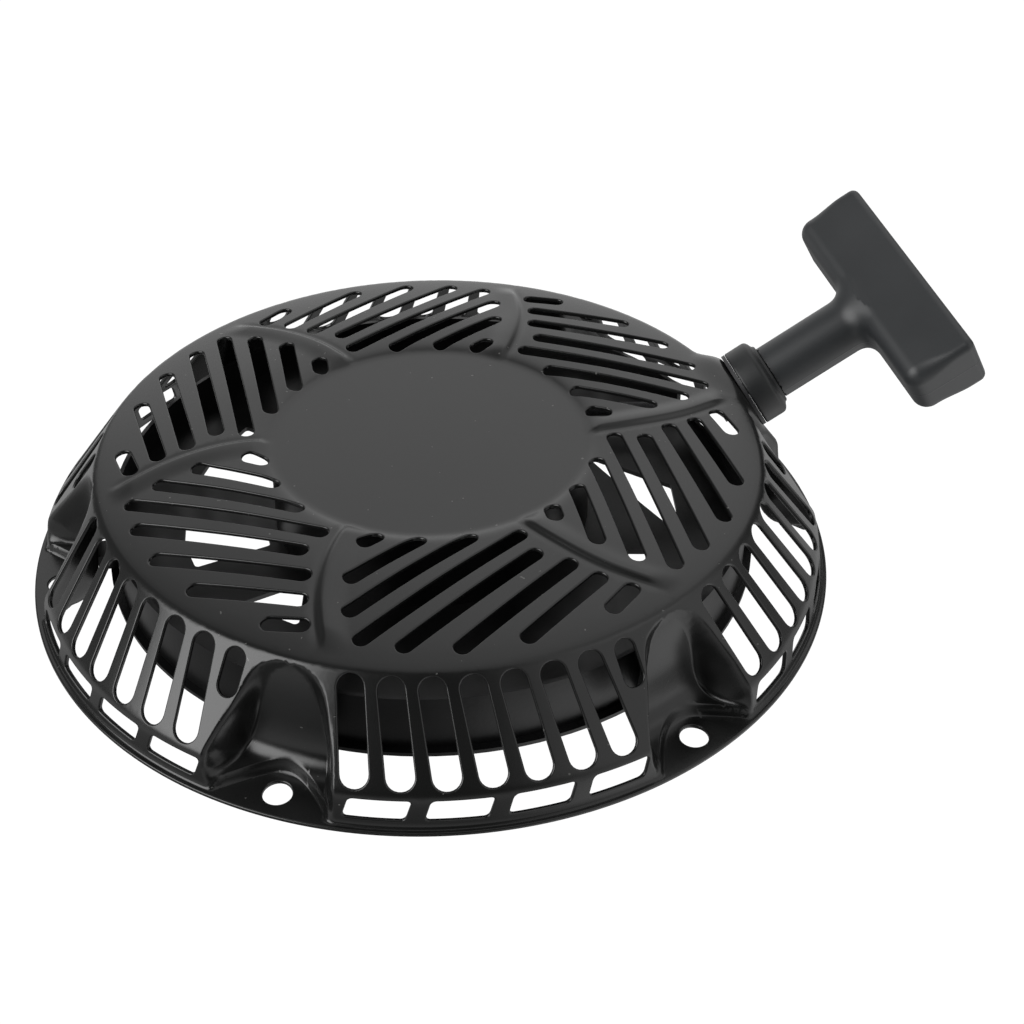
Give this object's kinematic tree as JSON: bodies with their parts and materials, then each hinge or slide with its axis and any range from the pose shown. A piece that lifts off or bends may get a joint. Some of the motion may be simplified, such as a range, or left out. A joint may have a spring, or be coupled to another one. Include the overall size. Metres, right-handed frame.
{
  "type": "recoil starter",
  "caption": "Pull-rope recoil starter: slotted pressed steel cover with mounting ears, spring-returned rope pulley with pawls, and a T-handle on a rope.",
  "frame": {"origin": "centre of the mounting bolt circle, in the plane of the flange's underside, which seats on the engine", "axes": "+Z along the crankshaft axis, away from the engine; +X towards the side the pull rope leaves on; +Y completes a right-handed frame"},
  "size_m": [0.2993, 0.25, 0.0795],
  "materials": {
    "housing_paint": "satin black paint",
    "inner_steel": "dull black coating",
    "zinc_steel": "zinc plated",
    "spring_steel": "blued, oiled",
    "pulley_nylon": "glass-filled nylon",
    "bush_bronze": "sintered",
    "rope_braid": "braided polyester",
    "grip_plastic": "fine satin moulded",
    "collar_rubber": "moulded"
  },
  "bodies": {
    "housing": {"housing_shell": "housing_paint", "drum_housing": "inner_steel", "arm_frame": "inner_steel", "skirt_ring": "inner_steel", "spring_cup": "zinc_steel", "centre_post": "inner_steel", "recoil_spring": "spring_steel", "spring_anchor": "zinc_steel", "thrust_washer": "zinc_steel", "friction_sleeve": "zinc_steel", "friction_spring": "spring_steel", "bolt_washer": "zinc_steel", "centre_bolt": "zinc_steel", "rope_guide": "pulley_nylon", "guide_clip": "zinc_steel", "rope_inner": "rope_braid"},
    "pulley": {"pulley": "pulley_nylon", "pulley_bush": "bush_bronze", "rope_coil": "rope_braid", "pulley_knot": "rope_braid", "pawl_pin_1": "zinc_steel", "pawl_pin_2": "zinc_steel"},
    "pawl_guide": {"guide_plate": "zinc_steel"},
    "pawl_1": {"pawl_1": "spring_steel", "pawl_spring_1": "spring_steel"},
    "pawl_2": {"pawl_2": "spring_steel", "pawl_spring_2": "spring_steel"},
    "handle": {"grip": "grip_plastic", "grip_collar": "collar_rubber", "knot_washer": "zinc_steel", "handle_knot": "rope_braid", "handle_plug": "grip_plastic", "rope_outer": "rope_braid"}
  },
  "joints": [
    {"name": "pulley_spin", "type": "hinge", "parent": "housing", "child": "pulley", "pos_m": [0, 0, 0.0224], "axis": [0, 0, -1], "range_deg": [0, 1309.62], "stiffness_Nm_per_rad": 0.02, "springref_deg": -1031.32, "deforming": ["recoil_spring"]},
    {"name": "handle_pull", "type": "slide", "parent": "housing", "child": "handle", "axis": [0.8343, 0.208, 0.5105], "range_m": [0, 0.8005], "deforming": ["rope_outer"]},
    {"name": "guide_lag", "type": "hinge", "parent": "pulley", "child": "pawl_guide", "pos_m": [0, 0, 0.0087], "axis": [0, 0, 1], "range_deg": [0, 25], "stiffness_Nm_per_rad": 0.01, "springref_deg": -11.46},
    {"name": "pawl_1_swing", "type": "hinge", "parent": "pulley", "child": "pawl_1", "pos_m": [0.024, 0, 0.0147], "axis": [0, 0, 1], "range_deg": [0, 30.05], "deforming": ["pawl_spring_1"]},
    {"name": "pawl_2_swing", "type": "hinge", "parent": "pulley", "child": "pawl_2", "pos_m": [-0.024, 0, 0.0147], "axis": [0, 0, 1], "range_deg": [0, 30.05], "deforming": ["pawl_spring_2"]}
  ],
  "couplings": [
    {"joint": "handle_pull", "follows": "pulley_spin", "m_per_rad": 0.035},
    {"joint": "pawl_1_swing", "follows": "guide_lag", "ratio": 1.2},
    {"joint": "pawl_2_swing", "follows": "guide_lag", "ratio": 1.2}
  ]
}
